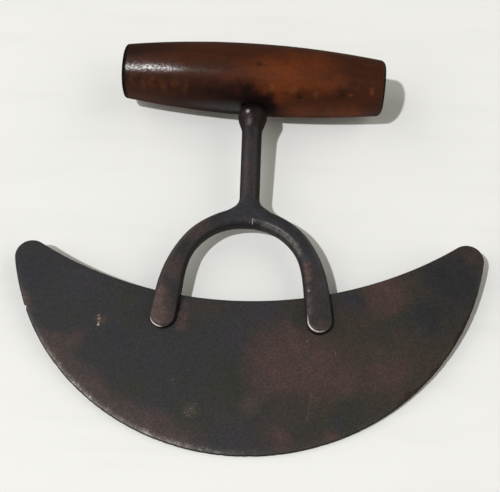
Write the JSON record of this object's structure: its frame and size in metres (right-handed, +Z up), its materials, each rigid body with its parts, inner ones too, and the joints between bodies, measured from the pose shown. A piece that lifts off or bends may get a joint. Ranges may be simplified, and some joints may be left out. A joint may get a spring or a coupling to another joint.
{
  "type": "mezzaluna",
  "caption": "Hand food chopper: a crescent steel blade riveted into the feet of a forged iron fork, whose tang is fixed in a barrel-shaped wooden handle set across it.",
  "frame": {"origin": "under the middle of the tool's box, on the surface that it lies on", "axes": "the tool lies on its back: +X along the handle to the right, +Y from the blade to the handle, +Z up off the surface, so the shank and blade slope up by 5.3 degrees from the cutting edge to the handle"},
  "size_m": [0.1766, 0.1692, 0.0296],
  "materials": {
    "blade_steel": "dark brown and blue-black patina with a narrow bright ground edge",
    "forged_iron": "smooth dark forged iron, rubbed brown in places",
    "stained_wood": "dark red-brown stain under worn glossy varnish"
  },
  "bodies": {
    "root": {"blade": "blade_steel", "fork": "forged_iron", "handle": "stained_wood", "tang_washer": "forged_iron", "rivet_left_lower": "forged_iron", "rivet_left_upper": "forged_iron", "rivet_right_lower": "forged_iron", "rivet_right_upper": "forged_iron"}
  },
  "joints": []
}
